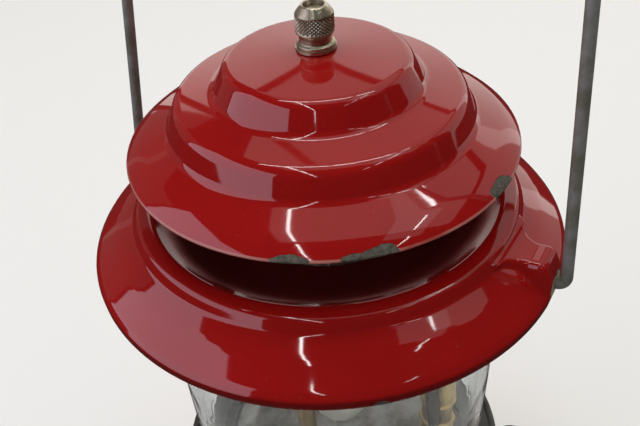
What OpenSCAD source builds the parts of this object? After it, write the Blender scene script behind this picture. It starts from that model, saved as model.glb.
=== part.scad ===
// Single-mantle liquid-fuel pressure lantern with a two-tier enamelled ventilator.
// Millimetres, +Z up, origin at the centre of the foot ring on the ground.
// The bail swings about the X axis and the valve wheel faces -Y.

/* [Fount] */
// Outer diameter of the fount
fount_d = 156; // [150:1:164]
// Height of the platform on top of the fount
fount_h = 85; // [82:1:92]
// Radius of the fount's shoulder
shoulder_r = 16; // [12:1:18]
// Sheet thickness of the fount
fount_wall = 1.2; // [0.8:0.1:1.6]
// Height of the dished bottom above the ground
bottom_lift = 5; // [4:0.5:7]

/* [Filler] */
// Direction of the filler seen from above
filler_az = 28; // [24:1:40]
// Lean of the filler's axis away from vertical
filler_tilt = 30; // [28:1:34]
// Bore of the filler neck
filler_bore = 18; // [15:0.5:19]
// Diameter of the filler cap
filler_cap_d = 27; // [26:0.5:30]
// Thread lead of the filler cap, its rise in one turn
filler_pitch = 1.5; // [1:0.25:2]

/* [Pump] */
// Direction of the pump seen from above
pump_az = -145; // [-150:1:-140]
// Rise of the pump's axis above level
pump_tilt = 40; // [38:1:42]
// Outer diameter of the pump barrel
barrel_d = 22; // [20:0.5:24]
// Room between the barrel's lower end and the fount's bottom
barrel_room = 3; // [2:0.5:6]
// Diameter of the pump rod
rod_d = 6.4; // [5.6:0.2:7.2]
// Diameter of the pump knob
knob_d = 23; // [20:0.5:26]
// Length of the barrel that the plunger leaves unused
pump_idle = 24; // [22:1:34]

/* [Valve] */
// Distance of the valve and generator from the lantern's axis
valve_y = 24.5; // [24:0.25:26]
// Height of the valve stem above the fount's platform
stem_rise = 13; // [12.5:0.5:14]
// Diameter of the valve wheel
wheel_d = 32; // [28:1:34]
// Diameter of the generator tube
generator_d = 7.4; // [6.6:0.2:8]
// Lift of the tip-cleaning rod
cleaner_lift = 1.6; // [1:0.1:1.8]

/* [Globe and frame] */
// Height of the globe's plate above the fount's platform
plate_rise = 28; // [27.5:0.5:30]
// Width of the plate outside the collar
plate_edge = 4; // [3.5:0.25:6]
// Outer radius of the globe at its open ends
globe_end_r = 49; // [48:0.25:50]
// Outer radius of the globe at its middle
globe_mid_r = 58.6; // [55:0.2:60]
// Height of the globe
globe_h = 121.5; // [110:0.5:133]
// Glass thickness
glass = 2.4; // [1.8:0.1:3]
// Width of the frame's two legs
leg_w = 9; // [7:0.5:10]
// Direction of the air tube seen from above
air_az = 20; // [19:1:28]
// Outer diameter of the air tube
air_d = 13; // [11:0.5:13]
// Outer diameter of the burner manifold
manifold_d = 13; // [12:0.5:13]

/* [Ventilator] */
// Radius of the brim at its widest
brim_r = 78; // [77.5:0.25:79]
// Height of the globe's upper edge above the brim's widest circle
globe_cover = 7.5; // [7:0.1:8]
// Distance of the cap's rim inside the brim's widest circle
cap_inset = 16.8; // [16:0.1:18]
// Height of the cap's rim above the brim's widest circle
cap_lift = 34.9; // [33:0.1:37]
// Sheet thickness of the ventilator
sheet = 0.9; // [0.7:0.05:1.1]
// Half width of each bail boss at its top
boss_half = 5.6; // [5:0.1:6.6]

/* [Bail and nut] */
// Diameter of the bail wire
wire_d = 3.66; // [3.2:0.02:4]
// Distance of each bail leg outside the brim's widest circle, at the pivots
leg_out = 2.8; // [2.6:0.1:3.6]
// Height of the pivots above the brim's widest circle
pivot_lift = 2.7; // [2.4:0.1:3.2]
// Inward lean of each bail leg
toe_in = 4.5; // [2:0.25:5]
// Length of each straight bail leg
leg_len = 92; // [80:1:100]
// Lean of the bail away from upright as it stands
bail_lean = 5; // [0:1:10]
// Largest diameter of the ball nut
nut_d = 11.6; // [10.5:0.1:13]
// Height of the ball nut
nut_h = 12.4; // [11:0.2:14]
// Diameter of the centre stud
stud_d = 5; // [4:0.25:5.5]

/* [Hidden] */

$fn = 96;
run_fit = 0.08;
slack = 0.3;
far = 200;

// Main radii, and levels above the ground.
cap_r = brim_r - cap_inset;
leg_x = brim_r + leg_out;
screw_r = globe_end_r + 9;
collar_top_r = screw_r + 3;
plate_r = collar_top_r + plate_edge;
stem_z = fount_h + stem_rise;
plate_z = fount_h + plate_rise;
brim_z = plate_z + globe_h - globe_cover;

// ---- Outline helpers -------------------------------------------------------------------

function unit(v) = v / norm(v);
function flip(p) = [for (i = [len(p) - 1:-1:0]) p[i]];
function lift(p, z) = [for (q = p) [q[0], q[1] + z]];

// The points of the round that replaces corner c between neighbours a and b.
function corner(a, c, b) =
  let (o = [c[0], c[1]], u = unit([a[0], a[1]] - o), v = unit([b[0], b[1]] - o))
  let (half = acos(u * v) / 2, m = o + unit(u + v) * c[2] / sin(half))
  let (s = o + u * c[2] / tan(half) - m, e = o + v * c[2] / tan(half) - m)
  let (a0 = atan2(s[1], s[0]), d = atan2(e[1], e[0]) - a0)
  let (turn = d > 180 ? d - 360 : d < -180 ? d + 360 : d, n = max(2, ceil(abs(turn) / max(6, 16 / sqrt(c[2])))))
  [for (i = [0:n]) m + c[2] * [cos(a0 + turn * i / n), sin(a0 + turn * i / n)]];

// A path of corners [x, y, round radius] turned into plain points.
function rounded(p) = [for (i = [0:len(p) - 1])
  each (p[i][2] == 0 ? [[p[i][0], p[i][1]]] : corner(p[i - 1], p[i], p[i + 1]))];

// The path moved by t to its right-hand side.
function beside(p, t) = [for (i = [0:len(p) - 1])
  let (a = unit(p[max(i, 1)] - p[max(i, 1) - 1]))
  let (b = unit(p[min(i, len(p) - 2) + 1] - p[min(i, len(p) - 2)]))
  p[i] + t * ([a[1], -a[0]] + [b[1], -b[0]]) / (1 + a * b)];

// The path joined to its own mirror image on the far side of the axis.
function both(p) = concat([for (q = flip(p)) [-q[0], q[1]]], p);

// Height at x of the straight line through corners a and b.
function on_line(a, b, x) = a[1] + (x - a[0]) * (b[1] - a[1]) / (b[0] - a[0]);

// A closed outline of a sheet of thickness t under the path.
function sheet_of(p, t) = concat(p, flip(beside(p, t)));

module spin(p) { rotate_extrude() polygon(p); }
module hex(af, h) { cylinder(r = af / sqrt(3), h = h, $fn = 6); }
module tube(d, bore, h) {
  difference() {
    cylinder(d = d, h = h);
    translate([0, 0, -1]) cylinder(d = bore, h = h + 2);
  }
}
// A round bar from point a to point b.
module bar(a, b, d) {
  v = b - a;
  translate(a) rotate([0, acos(v[2] / norm(v)), atan2(v[1], v[0])])
    cylinder(d = d, h = norm(v));
}

// ---- Fount -----------------------------------------------------------------------------

fount_r = fount_d / 2;
collar_r = 42;
platform_r = collar_r + 4;
platform_step = 1.6;
shoulder_drop = 4;
foot_inset = 2.4;
foot_h = 7;
bottom_wall = 1;
valve_hole_d = 15;

fount_corners = [
  [0, fount_h, 0],
  [platform_r, fount_h, 1.5],
  [platform_r + 1.5, fount_h - platform_step, 1.5],
  [fount_r, fount_h - shoulder_drop, shoulder_r],
  [fount_r, foot_h + foot_inset, 2],
  [fount_r - foot_inset, foot_h, 2],
  [fount_r - foot_inset, 0, 0]
];
fount_path = rounded(fount_corners);
foot_r = fount_r - foot_inset - fount_wall;

// Centre of the shoulder's round; the filler's and the pump's axes pass through it.
shoulder_x = fount_r - shoulder_r;
shoulder_slope = atan((shoulder_drop - platform_step) / (fount_r - platform_r - 1.5));
shoulder_z = fount_h - shoulder_drop + shoulder_r * tan(shoulder_slope)
  - shoulder_r / cos(shoulder_slope);
seat_rise = 0.6;

module at_shoulder(az, tilt) {
  rotate([0, 0, az]) translate([shoulder_x, 0, shoulder_z]) rotate([0, tilt, 0])
    translate([0, 0, shoulder_r + seat_rise]) children();
}

// Filler: the seat lies on the fount's shoulder and its axis leans outward.
filler_wall = 2;
filler_neck_d = filler_bore + 2 * filler_wall;
filler_neck_h = 5;
filler_flange_d = 26;
filler_flange_h = 1;
filler_depth = 6;
filler_gasket_h = 1.5;
filler_cap_h = 10;
filler_cap_top = 3;
filler_grips = 24;
filler_screw_d = 4;
filler_screw_in = 5.5;
seal_plug_h = 3;
seal_bore = 6;

module at_filler() { at_shoulder(filler_az, filler_tilt) children(); }

// Pump: local +Z runs out of the fount along the barrel.
barrel_wall = 0.9;
barrel_flange_d = 29;
barrel_flange_h = 1;
pump_boss_d = 33;
pump_boss_h = 0.4;
boss_depth = 10;
pump_screw_pcd = 25.2;
pump_screw_d = 2.4;

check_valve_out = 5;
// The barrel ends a little above the fount's bottom, to the whole millimetre.
bottom_top = bottom_lift + 2.5;
mouth_z = shoulder_z + (shoulder_r + seat_rise) * sin(pump_tilt);
barrel_drop = mouth_z - bottom_top - barrel_room - barrel_d / 2 * cos(pump_tilt);
barrel_len = floor(barrel_drop / sin(pump_tilt));
pump_travel = barrel_len - pump_idle;

module at_pump() { at_shoulder(pump_az, 90 - pump_tilt) children(); }
module pump_screw_places() {
  for (a = [0, 180]) rotate([0, 0, a + 90]) translate([pump_screw_pcd / 2, 0, 0]) children();
}

module fount_inside() {
  spin(concat([[0, -1]], [for (q = beside(fount_path, fount_wall)) [max(q[0], 0), q[1]]],
    [[foot_r, -1]]));
}

module fount_shell() color("firebrick") difference() {
  union() {
    spin(concat(fount_path, [[0, 0]]));
    at_pump() translate([0, 0, -boss_depth])
      cylinder(d = pump_boss_d, h = boss_depth + pump_boss_h);
    at_filler() translate([0, 0, -boss_depth]) cylinder(d = filler_flange_d + 3, h = boss_depth);
  }
  fount_inside();
  at_pump() translate([0, 0, -20]) cylinder(d = barrel_d + 2 * run_fit, h = 40);
  at_pump() pump_screw_places() translate([0, 0, -3]) cylinder(d = pump_screw_d, h = 10);
  at_filler() translate([0, 0, -20]) cylinder(d = filler_neck_d + 2 * run_fit, h = 40);
  translate([0, -valve_y, fount_h - 10]) cylinder(d = valve_hole_d, h = 20);
}

module fount_bottom() color("firebrick") spin(concat(
  sheet_of(rounded([
    [0, bottom_top, 0],
    [foot_r - 45, bottom_top, 60],
    [foot_r - 6, bottom_lift, 8],
    [foot_r - run_fit, bottom_lift, 1.6],
    [foot_r - run_fit, 0.6, 0]
  ]), bottom_wall)));

module filler_neck() color("silver") at_filler() difference() {
  union() {
    translate([0, 0, -filler_depth]) cylinder(d = filler_neck_d, h = filler_depth);
    cylinder(d = filler_flange_d, h = filler_flange_h);
    cylinder(d = filler_neck_d, h = filler_neck_h);
  }
  translate([0, 0, -filler_depth - 1])
    cylinder(d = filler_bore, h = filler_depth + filler_neck_h + 2);
}

// The sealing disc rides up and down with the cap but does not turn with it.
module filler_gasket() color("dimgray") at_filler() translate([0, 0, filler_neck_h]) {
  tube(filler_neck_d - 2 * slack, seal_bore, filler_gasket_h);
  translate([0, 0, -seal_plug_h]) tube(filler_bore - 2 * slack, seal_bore, seal_plug_h);
}

filler_top = filler_neck_h + filler_gasket_h;
cap_wall = 1.4;
module filler_cap() color("silver") at_filler() difference() {
  union() {
    translate([0, 0, filler_flange_h + 0.4])
      cylinder(d = filler_cap_d,
        h = filler_top + filler_cap_h - filler_cap_top - filler_flange_h - 0.4);
    spin(lift(rounded([
      [0, 0, 0], [filler_cap_d / 2, 0, 0], [filler_cap_d / 2, filler_cap_top, 2],
      [0, filler_cap_top, 0]]), filler_top + filler_cap_h - filler_cap_top));
  }
  translate([0, 0, filler_flange_h - 1])
    cylinder(d = filler_neck_d + 2 * slack, h = filler_top - filler_flange_h + 1);
  translate([0, 0, filler_top + cap_wall])
    cylinder(d = filler_cap_d - 2 * cap_wall - 3, h = filler_cap_h - 2 * cap_wall);
  translate([0, 0, filler_top - 1]) cylinder(d = filler_screw_d + 2 * run_fit, h = 30);
  for (i = [0:filler_grips - 1]) rotate([0, 0, i * 360 / filler_grips])
    translate([filler_cap_d / 2 + 0.5, 0, 3]) cylinder(d = 2.2, h = filler_top + filler_cap_h - 6);
}

module filler_screw() color("goldenrod") at_filler() {
  translate([0, 0, filler_top - filler_screw_in])
    cylinder(d = filler_screw_d, h = filler_cap_h + filler_screw_in);
  difference() {
    translate([0, 0, filler_top + filler_cap_h]) cylinder(d = 2 * filler_screw_d, h = 2);
    translate([-5, -0.5, filler_top + filler_cap_h + 1.2]) cube([10, 1, 1]);
  }
}

// ---- Pump ------------------------------------------------------------------------------

cup_d = barrel_d - 2 * barrel_wall - 0.2;
valve_seat_h = 3;
seat_bore = 6;
cup_h = 7;
skirt_h = 3.2;
cup_z = -barrel_len + valve_seat_h + 6;
stem_rod_d = 3.2;
rod_bore = 4;
cap_out = pump_boss_h + barrel_flange_h;
knob_z = cap_out + 4.2;
knob_h = 7;
knob_grips = 36;
rod_foot_d = 9;
rod_foot_z = cup_z - 2.6;

module pump_barrel() color("goldenrod") at_pump() {
  translate([0, 0, pump_boss_h]) difference() {
    tube(barrel_flange_d, barrel_d - 2 * barrel_wall, barrel_flange_h);
    pump_screw_places() translate([0, 0, -3]) cylinder(d = pump_screw_d, h = 10);
  }
  translate([0, 0, -barrel_len])
    tube(barrel_d, barrel_d - 2 * barrel_wall, barrel_len + pump_boss_h);
  translate([0, 0, -barrel_len]) tube(barrel_d - 2 * barrel_wall, seat_bore, valve_seat_h);
}

// Brass check valve screwed through the barrel's end wall.
module check_valve() color("gold") at_pump() translate([0, 0, -barrel_len]) difference() {
  union() {
    translate([0, 0, -check_valve_out]) cylinder(d = 8, h = check_valve_out);
    cylinder(d = seat_bore - 2 * run_fit, h = valve_seat_h);
    translate([0, 0, valve_seat_h]) cylinder(d = 10, h = 1.6);
  }
  translate([0, 0, -6]) cylinder(d = 1.6, h = 20);
  translate([0, 0, valve_seat_h - 1]) cylinder(d = stem_rod_d + 2 * run_fit, h = 10);
}

// The needle stem that the knob turns through the hollow rod.
module air_stem() color("silver") at_pump()
  translate([0, 0, -barrel_len + valve_seat_h - 0.9])
    cylinder(d = stem_rod_d, h = pump_travel + 8);

module pump_cup() color("saddlebrown") at_pump() translate([0, 0, cup_z]) difference() {
  spin(rounded([
    [0, 2, 0], [cup_d / 2 - 2, 2, 0.8], [cup_d / 2 - 1.4, -skirt_h, 0],
    [cup_d / 2, -skirt_h, 0], [cup_d / 2, cup_h - skirt_h, 2], [0, cup_h - skirt_h, 0]]));
  translate([0, 0, -5]) cylinder(d = rod_d + 2 * run_fit, h = 20);
}

module cup_retainer() color("silver") at_pump() translate([0, 0, cup_z]) {
  translate([0, 0, cup_h - skirt_h]) tube(14, rod_d + 2 * run_fit, 1);
  translate([0, 0, 0.7]) tube(12, rod_d + 2 * run_fit, 1.3);
}

// Hollow rod with a shoulder under the cup.
module pump_rod() color("silver") at_pump() {
  translate([0, 0, cup_z - 1.5]) tube(rod_d, rod_bore, knob_z - cup_z + 1.5);
  translate([0, 0, rod_foot_z]) tube(rod_foot_d, rod_bore, 3.2);
}

module pump_knob() color("silver") at_pump() translate([0, 0, knob_z]) difference() {
  spin(rounded([
    [0, 0, 0], [7, 0, 1.5], [8.5, 2, 1.5], [knob_d / 2, 2.6, 1.4],
    [knob_d / 2, knob_h, 2], [knob_d / 2 - 4, knob_h + 0.8, 2], [5, knob_h - 0.6, 0],
    [5, 2.4, 0], [0, 2.4, 0]]));
  for (i = [0:knob_grips - 1]) rotate([0, 0, i * 360 / knob_grips])
    translate([knob_d / 2 + 0.35, 0, 1]) cylinder(d = 1.3, h = knob_h - 2.2);
}

module pump_cap() color("silver") at_pump() translate([0, 0, cap_out]) difference() {
  spin(rounded([
    [0, 0, 0], [barrel_flange_d / 2 + 0.4, 0, 0], [barrel_flange_d / 2 + 0.4, 1, 0.6],
    [9.4, 1, 0.8], [8.2, 3.2, 1.4], [0, 3.2, 0]]));
  translate([0, 0, -1]) cylinder(d = rod_d + 2 * run_fit, h = 6);
  translate([0, 0, -1]) cylinder(d = 12, h = 2.6);
  pump_screw_places() translate([0, 0, -1]) cylinder(d = pump_screw_d + 0.2, h = 6);
}

module pump_screws() color("silver") at_pump() pump_screw_places() {
  translate([0, 0, -2]) cylinder(d = pump_screw_d - 2 * run_fit, h = cap_out + 3);
  translate([0, 0, cap_out + 1]) difference() {
    cylinder(d = 4.4, h = 1.2);
    translate([-3, -0.35, 0.7]) cube([6, 0.7, 1]);
  }
}

// ---- Valve, generator and tip cleaner ---------------------------------------------------

body_d = 12.5;
stem_d = 5;
packing_y = valve_y + 15;
wheel_y = fount_r + 3;
wheel_h = 7;
wheel_grips = 16;
wheel_screw_d = 1.9;
nut_af = 15;
generator_nut_h = 13;
generator_bore = 5.2;
cleaner_z = stem_z + 9.3;
cleaner_d = 2.6;
cleaner_az = 32;
lever_out = 46;
lever_drop = 7;
pin_d = 1.4;
yoke_d = 4.6;
yoke_w = 3.5;
yoke_gap = pin_d + 0.7;
yoke_h = 6;
rod_wire_d = 1.5;
body_top = cleaner_z + 4.7;
// Levels of the burner, which hangs from the frame's bar under the brim.
bend_z = brim_z - 19;
leg_low = bend_z - 7;
cross_z = bend_z - 1;
tip_z = leg_low + 2;
burner_cap_h = 10;
burner_cap_z = leg_low - 3 - burner_cap_h;

module at_valve() { translate([0, -valve_y, 0]) children(); }
// Local +Z runs out along the valve stem.
module along_stem(y) { translate([0, -y, stem_z]) rotate([90, 0, 0]) children(); }
// Local +Z runs out along the cleaner's shaft.
module along_cleaner(d) {
  translate([0, -valve_y, cleaner_z]) rotate([90, 0, cleaner_az]) translate([0, 0, d])
    children();
}

module valve_body() color("goldenrod") difference() {
  union() {
    at_valve() translate([0, 0, fount_h]) hex(17, 4);
    at_valve() translate([0, 0, fount_h - 8]) cylinder(d = valve_hole_d - 2 * run_fit, h = 9);
    at_valve() translate([0, 0, fount_h]) cylinder(d = body_d, h = body_top - fount_h);
    along_stem(valve_y) cylinder(d = 10.5, h = packing_y - valve_y);
    along_cleaner(0) cylinder(d = 6.4, h = 10.5);
  }
  at_valve() translate([0, 0, cleaner_z - 4.4]) cylinder(d = yoke_d + 0.8, h = 20);
  at_valve() translate([0, 0, fount_h - 9]) cylinder(d = 4, h = 12);
  along_stem(valve_y) cylinder(d = stem_d + 2 * run_fit, h = 40);
  along_cleaner(0) cylinder(d = cleaner_d + 2 * run_fit, h = 20);
  along_cleaner(0) cylinder(d = cleaner_lift + pin_d + slack, h = yoke_d / 2 + 2 * slack);
}

module packing_nut() color("gold") along_stem(packing_y) difference() {
  hex(12, 6);
  translate([0, 0, -1]) cylinder(d = stem_d + 2 * run_fit, h = 8);
}

module pickup_tube() color("silver") at_valve()
  translate([0, 0, bottom_lift + 6]) tube(6, 4, fount_h - 8 - bottom_lift - 6);

module valve_stem() color("silver") along_stem(valve_y + 1) {
  cylinder(d = stem_d, h = wheel_y - valve_y + 1);
  translate([0, 0, wheel_y - valve_y + 1]) difference() {
    cylinder(d = 4, h = wheel_h - 2);
    translate([0, 0, 1]) cylinder(d = wheel_screw_d + 0.1, h = wheel_h);
  }
}

// Round wheel with scalloped rim, dished face and four lightening holes.
module valve_wheel() color("#2a2320") along_stem(wheel_y) difference() {
  spin(rounded([
    [0, 0, 0], [5.5, 0, 0.6], [5.5, 2.2, 0.8], [wheel_d / 2 - 4, 2.2, 1],
    [wheel_d / 2 - 3.2, 1, 1], [wheel_d / 2, 1, 1.6], [wheel_d / 2, wheel_h, 1.6],
    [wheel_d / 2 - 3.2, wheel_h, 1], [wheel_d / 2 - 4, 4.6, 1], [6.5, 4.6, 0.8],
    [5.5, 6.5, 0.6], [0, 6.5, 0]]));
  translate([0, 0, -1]) cylinder(d = 4 + 2 * run_fit, h = 20);
  translate([0, 0, -1]) cylinder(d = stem_d + 2 * run_fit, h = 3);
  for (i = [0:3]) rotate([0, 0, i * 90 + 45]) translate([9, 0, -1]) cylinder(d = 3.6, h = 20);
  for (i = [0:wheel_grips - 1]) rotate([0, 0, i * 360 / wheel_grips])
    translate([wheel_d / 2 + 1.2, 0, -1]) cylinder(d = 3.6, h = 20);
}

module wheel_screw() color("silver") along_stem(wheel_y) difference() {
  union() {
    translate([0, 0, 3.2]) cylinder(d = wheel_screw_d, h = wheel_h - 3);
    translate([0, 0, wheel_h]) spin(rounded([[0, 0, 0], [3.4, 0, 0], [3.4, 1.4, 1.2], [0, 2, 0]]));
  }
  translate([-4, -0.45, wheel_h + 0.9]) cube([8, 0.9, 2]);
}

module generator_nut() color("gold") at_valve() translate([0, 0, body_top]) difference() {
  union() {
    hex(nut_af, generator_nut_h - 3);
    cylinder(d = nut_af - 0.6, h = generator_nut_h - 1.4);
    cylinder(d = nut_af - 3.4, h = generator_nut_h);
  }
  translate([0, 0, -1]) cylinder(d = generator_d + 2 * run_fit, h = 20);
}

module generator_tube() color("tan") at_valve() difference() {
  spin(rounded([
    [0, body_top, 0], [generator_d / 2, body_top, 0], [generator_d / 2, tip_z - 9, 0.8],
    [2.9, tip_z - 8.4, 0], [2.9, tip_z - 4, 0], [1.7, tip_z, 0], [0, tip_z, 0]]));
  translate([0, 0, body_top - 1]) cylinder(d = generator_bore, h = tip_z - 10 - body_top);
  translate([0, 0, tip_z - 20]) cylinder(d = 1.9, h = 30);
}

module cleaning_rod() color("silver") at_valve() difference() {
  union() {
    translate([0, 0, cleaner_z - 3.6]) cylinder(d = yoke_d, h = yoke_h);
    translate([0, 0, cleaner_z]) cylinder(d = rod_wire_d, h = tip_z - cleaner_z - 2.4);
  }
  rotate([0, 0, cleaner_az]) translate([-yoke_w / 2, -5, cleaner_z - cleaner_lift / 2 - yoke_gap / 2])
    cube([yoke_w, 10, yoke_gap]);
}

// Shaft with an eccentric pin inside and a turned-down finger outside.
module cleaner_lever() color("silver") along_cleaner(0) {
  translate([0, 0, 2.4]) cylinder(d = cleaner_d, h = lever_out - 2.4);
  translate([0, -cleaner_lift / 2, -1.6]) cylinder(d = pin_d, h = 4.1);
  translate([0, 0, lever_out]) difference() {
    translate([0, -lever_drop, 0]) linear_extrude(1.2) union() {
      translate([-2, 0]) square([4, lever_drop]);
      circle(d = 7);
      translate([0, lever_drop]) circle(d = 5.4);
    }
    translate([0, -lever_drop, -1]) cylinder(d = 3, h = 4);
  }
}

// ---- Collar, plate and frame ------------------------------------------------------------

collar_wall = 1;
plate_t = 1.2;
flange_w = 6;
window_half = 21;
shield_r = globe_end_r - glass - 1.4;
lighting_hole_d = 13;
lighting_az = -130;
lighting_r = 36;
leg_t = 1.2;
leg_foot_x = 42.5;
leg_top_x = 38;
bar_z = brim_z;
air_r = 40;
air_pos = air_r * [cos(air_az), sin(air_az)];
screw_d = 3;

collar_corners = [
  [collar_r, fount_h, 0],
  [collar_r, fount_h + 9, 6],
  [collar_top_r - flange_w, plate_z - 6.5, 4],
  [collar_top_r - flange_w, plate_z - plate_t - collar_wall, 1],
  [collar_top_r, plate_z - plate_t - collar_wall, 0]
];

module collar() color("#23241f") difference() {
  spin(sheet_of(rounded(collar_corners), -collar_wall));
  translate([-window_half, -far, fount_h + 3]) cube([2 * window_half, far, 21]);
  for (a = [10:32:170]) rotate([0, 0, a]) translate([collar_r - 8, 0, fount_h + 6])
    rotate([0, 90, 0]) cylinder(d = 7, h = 16);
  plate_screw_places() cylinder(d = screw_d + 2 * run_fit, h = 4);
}

module plate_screw_places() {
  for (i = [0:2]) rotate([0, 0, 60 + i * 120]) translate([screw_r, 0, plate_z - 3]) children();
}

bead_d = 3;
// Dark plate with a rolled rim, an inner step for the globe and the burner's holes.
module globe_plate() color("#23241f") difference() {
  union() {
    translate([0, 0, plate_z - plate_t]) cylinder(r = plate_r - bead_d / 2, h = plate_t);
    translate([0, 0, plate_z - plate_t / 2]) rotate_extrude()
      translate([plate_r - bead_d / 2, 0]) circle(d = bead_d);
    translate([0, 0, plate_z]) difference() {
      cylinder(r = globe_end_r + 4.6, h = 2.2);
      translate([0, 0, -1]) cylinder(r = globe_end_r + 3.4, h = 5);
    }
  }
  at_valve() translate([0, 0, plate_z - 4]) cylinder(d = nut_af + 5, h = 8);
  translate([air_pos[0], air_pos[1], plate_z - 4]) cylinder(d = air_d + 2 * run_fit, h = 8);
  rotate([0, 0, lighting_az]) translate([lighting_r, 0, plate_z - 4])
    cylinder(d = lighting_hole_d, h = 8);
  plate_screw_places() cylinder(d = screw_d + 2 * run_fit, h = 4);
}

shield_t = 0.8;
shield_lift = 4;
// Bright dished reflector that centres the globe.
module heat_shield() color("lightsteelblue") difference() {
  spin(sheet_of(rounded([
    [0, plate_z + shield_lift, 0], [shield_r - 7, plate_z + shield_lift, 5],
    [shield_r, plate_z + shield_t, 1.2], [shield_r + 0.6, plate_z + shield_t, 0]]), shield_t));
  at_valve() translate([0, 0, plate_z - 4]) cylinder(d = nut_af + 4, h = 12);
  translate([air_pos[0], air_pos[1], plate_z - 4]) cylinder(d = air_d + 2 * run_fit, h = 12);
  rotate([0, 0, lighting_az]) translate([lighting_r, 0, plate_z - 4])
    cylinder(d = lighting_hole_d, h = 12);
}

module plate_screws() color("silver") plate_screw_places() {
  cylinder(d = screw_d, h = 3);
  translate([0, 0, 3]) difference() {
    cylinder(d = 2 * screw_d, h = 1.6);
    translate([-4, -0.4, 0.9]) cube([8, 0.8, 2]);
  }
}

// Half of the bent strip: the bar on top, a splayed leg and its foot on the shield.
leg_path = rounded([
  [8, bar_z + leg_t, 0],
  [leg_top_x, bar_z + leg_t, 4],
  [leg_top_x, plate_z + 70, 20],
  [leg_foot_x, plate_z + 26, 12],
  [leg_foot_x - 3, plate_z + 9, 4],
  [leg_foot_x - 2, plate_z + shield_lift + leg_t, 1.8],
  [leg_foot_x - 8, plate_z + shield_lift + leg_t, 0]
]);
module burner_frame() color("gray") difference() {
  translate([0, leg_w / 2, 0]) rotate([90, 0, 0]) linear_extrude(leg_w)
    polygon(sheet_of(both(leg_path), leg_t));
  translate([0, 0, bar_z - 5]) cylinder(d = stud_d + 2 * run_fit, h = 10);
}

// ---- Burner ------------------------------------------------------------------------------

bend_r = valve_y / 2;
manifold_wall = 1.4;
cross_d = 9;
burner_cap_d = 22;
air_low = plate_z - 7;

// Pipe from the manifold's inlet leg to the axis of the air tube.
module cross_pipe(d) {
  bar([0, -valve_y, cross_z], [air_pos[0], air_pos[1], cross_z], d);
}

// Drawn brass tube with two rolled beads above the shield.
module air_tube() color("goldenrod") translate([air_pos[0], air_pos[1], 0]) difference() {
  union() {
    translate([0, 0, air_low]) cylinder(d = air_d, h = cross_z + cross_d / 2 + 2 - air_low);
    for (z = [10, 16, 28]) translate([0, 0, plate_z + z]) rotate_extrude()
      translate([air_d / 2 - 0.5, 0]) circle(d = 2.6);
    translate([0, 0, cross_z + cross_d / 2 + 2]) spin(rounded([
      [0, 0, 0], [air_d / 2, 0, 0], [air_d / 2 - 1.5, 3, 2], [0, 3.4, 0]]));
  }
  translate([0, 0, air_low - 1]) cylinder(d = air_d - 2.4, h = cross_z + 3 - air_low);
  translate([-air_pos[0], -air_pos[1], 0]) cross_pipe(cross_d + 0.1);
}

// Inverted U that carries the mixed gas over to the mantle, with its side inlet.
module burner_manifold() color("dimgray") difference() {
  union() {
    translate([0, -bend_r, bend_z]) rotate([90, 0, 90]) rotate_extrude(angle = 180)
      translate([bend_r, 0]) circle(d = manifold_d);
    translate([0, 0, leg_low]) cylinder(d = manifold_d, h = bend_z - leg_low);
    at_valve() translate([0, 0, leg_low]) cylinder(d = manifold_d, h = bend_z - leg_low);
    translate([0, 0, leg_low - 3]) cylinder(d = manifold_d + 3, h = 4);
    cross_pipe(cross_d);
  }
  translate([0, -bend_r, bend_z]) rotate([90, 0, 90]) rotate_extrude(angle = 180)
    translate([bend_r, 0]) circle(d = manifold_d - 2 * manifold_wall);
  translate([0, 0, leg_low - 4])
    cylinder(d = manifold_d - 2 * manifold_wall, h = bend_z - leg_low + 4);
  at_valve() translate([0, 0, leg_low - 1])
    cylinder(d = manifold_d - 2 * manifold_wall, h = bend_z - leg_low + 1);
}

module burner_cap() color("lightgray") difference() {
  spin(rounded([
    [0, burner_cap_z, 0], [burner_cap_d / 2, burner_cap_z, 0.6],
    [burner_cap_d / 2, burner_cap_z + 2, 0.5], [burner_cap_d / 2 - 1.5, burner_cap_z + 3, 0.8],
    [burner_cap_d / 2 - 1.5, burner_cap_z + 4.5, 0.8],
    [burner_cap_d / 2, burner_cap_z + 5.5, 0.5],
    [burner_cap_d / 2, burner_cap_z + burner_cap_h - 2, 1.5],
    [manifold_d / 2 + 1.5, leg_low - 3, 0],
    [0, leg_low - 3, 0]]));
  translate([0, 0, burner_cap_z - 1]) cylinder(d = burner_cap_d - 5, h = 7);
  translate([0, 0, burner_cap_z - 1])
    cylinder(d = manifold_d - 2 * manifold_wall, h = 20);
}

module burner_screen() color("darkgray") translate([0, 0, burner_cap_z + 1.2]) difference() {
  cylinder(d = burner_cap_d - 5 - 2 * run_fit, h = 0.8);
  for (x = [-6:3:6]) for (y = [-6:3:6]) if (norm([x, y]) < 7.2)
    translate([x, y, -1]) cylinder(d = 1.5, h = 3);
}

// Soft mantle, a plain closed bag under the burner cap.
mantle_r = 17.5;
mantle_h = 62;
module mantle() color("ivory") spin(lift(rounded([
  [0, -slack, 0], [burner_cap_d / 2 - 1.5, -slack, 0], [burner_cap_d / 2, -6, 8],
  [mantle_r, -mantle_h + 40, 22], [mantle_r - 2.5, -mantle_h + 10, 14],
  [4, -mantle_h, 4], [0, -mantle_h, 0]]), burner_cap_z));

// ---- Globe --------------------------------------------------------------------------------

globe_path = rounded([
  [globe_end_r, plate_z, 0], [globe_mid_r - 1.6, plate_z + 12, 15],
  [globe_mid_r, plate_z + globe_h / 2, 220],
  [globe_mid_r - 1.6, plate_z + globe_h - 12, 15], [globe_end_r, plate_z + globe_h, 0]
]);
module globe() color("lightcyan", 0.35) spin(sheet_of(globe_path, -glass));

// ---- Ventilator ---------------------------------------------------------------------------

throat_r = brim_r - 48;
ring_in = brim_r - 20.8;
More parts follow.
